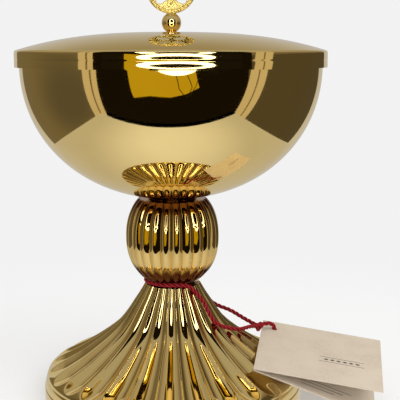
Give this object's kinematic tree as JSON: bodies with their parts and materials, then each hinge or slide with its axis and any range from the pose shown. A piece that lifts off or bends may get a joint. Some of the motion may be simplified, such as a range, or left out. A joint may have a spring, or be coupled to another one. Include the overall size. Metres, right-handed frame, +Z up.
{
  "type": "ciborium",
  "caption": "Lidded ciborium: a wide polished cup on a lobed knop and a fluted flared foot, with a lift-off domed lid, a cross medallion and a folded tag on a red cord.",
  "frame": {"origin": "centre of the foot's underside, on the surface that the vessel stands on", "axes": "+Z up along the stem, -Y towards the face of the cross medallion, +X to the right of that face, where the tag lies"},
  "size_m": [0.2122, 0.174, 0.2486],
  "materials": {
    "polished_gold": "mirror-polished gold plate over brass",
    "cast_gold": "cast gold plate with fine engraved grain and bright edges",
    "plain_brass": "plain turned brass",
    "plain_steel": "plain turned steel",
    "red_cord": "twisted satin thread",
    "card": "matt uncoated card"
  },
  "bodies": {
    "vessel": {"base_ring": "polished_gold", "foot_shell": "polished_gold", "rod_washer": "plain_steel", "rod_nut": "plain_steel", "tie_rod": "plain_steel", "neck_ring": "polished_gold", "knop": "polished_gold", "knop_collar": "polished_gold", "cup_boss": "plain_brass", "cup_shell": "polished_gold", "cup_bead": "polished_gold"},
    "lid": {"lid_shell": "polished_gold", "finial_spool": "polished_gold", "finial_ball": "polished_gold", "cross_medallion": "cast_gold", "finial_washer": "plain_brass", "finial_nut": "plain_brass"},
    "tag": {"cord_loop": "red_cord", "cord_knot": "red_cord", "cord_tail": "red_cord", "tail_knot": "red_cord", "tag_cover": "card"},
    "lower_leaf": {"tag_back": "card"}
  },
  "joints": [
    {"name": "lid_lift", "type": "slide", "parent": "vessel", "child": "lid", "axis": [0, 0, 1], "range_m": [0, 0.09]},
    {"name": "tag_turn", "type": "hinge", "parent": "vessel", "child": "tag", "pos_m": [0, 0, 0.0683], "axis": [0, 0, 1], "continuous": true},
    {"name": "tag_fold", "type": "hinge", "parent": "tag", "child": "lower_leaf", "pos_m": [0.04518, -0.03656, 0.02572], "axis": [0.1603, 0.9711, 0.1766], "range_deg": [-12, 0.4]}
  ]
}
